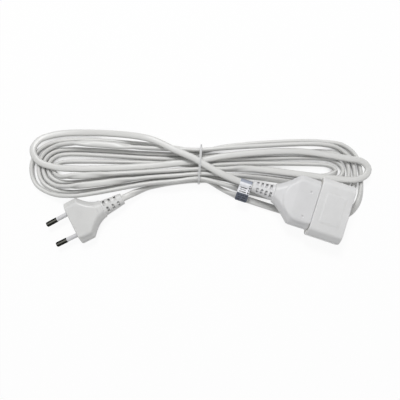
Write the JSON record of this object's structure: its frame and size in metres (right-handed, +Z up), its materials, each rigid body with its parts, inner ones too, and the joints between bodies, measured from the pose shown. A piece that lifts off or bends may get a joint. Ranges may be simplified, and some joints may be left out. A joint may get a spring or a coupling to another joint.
{
  "type": "extension cord",
  "caption": "Flat two-core extension cord folded into a tied hank, with a flat two-pin plug and a flat socket with a deep collar and a sprung shutter.",
  "frame": {"origin": "on the floor, under the centre of the box round the plug and the socket, without the cord", "axes": "+X from the plug to the socket along the hank, +Y to the side on which the hank lies, +Z up"},
  "size_m": [0.2763, 0.0957, 0.0227],
  "materials": {
    "cord_sheath": "soft white PVC sheath, satin",
    "moulding": "white moulded PVC, fine matt grain",
    "collar_shell": "white moulded plastic, fine matt grain",
    "insert": "pale rigid plastic",
    "shutter_plastic": "pale rigid plastic",
    "pin_metal": "nickel plated, lightly rubbed",
    "pin_insulation": "white, smooth",
    "contact_brass": "plain brass",
    "core_brown": "brown insulation",
    "core_blue": "blue insulation",
    "label_foil": null,
    "tie": "thin white band",
    "spring_steel": "wire"
  },
  "bodies": {
    "root": {"plug_body": "moulding", "plug_bridge": "insert", "plug_pin_left": "pin_metal", "plug_pin_right": "pin_metal", "pin_sleeve_left": "pin_insulation", "pin_sleeve_right": "pin_insulation", "plug_crimp_left": "contact_brass", "plug_crimp_right": "contact_brass", "plug_core_brown": "core_brown", "plug_core_blue": "core_blue", "plug_lead": "cord_sheath", "hank": "cord_sheath", "connector_lead": "cord_sheath", "cord_label": "label_foil", "cord_tie": "tie", "connector_body": "moulding", "connector_collar": "collar_shell", "contact_carrier": "insert", "contact_left": "contact_brass", "contact_right": "contact_brass", "connector_crimp_left": "contact_brass", "connector_crimp_right": "contact_brass", "connector_core_brown": "core_brown", "connector_core_blue": "core_blue", "shutter_spring": "spring_steel"},
    "shutter_plate": {"shutter": "shutter_plastic"}
  },
  "joints": [
    {"name": "shutter_slide", "type": "slide", "parent": "root", "child": "shutter_plate", "axis": [0, 0, -1], "range_m": [0, 0.00442], "stiffness_N_per_m": 250, "springref_m": -0.002, "deforming": ["shutter_spring"]}
  ]
}
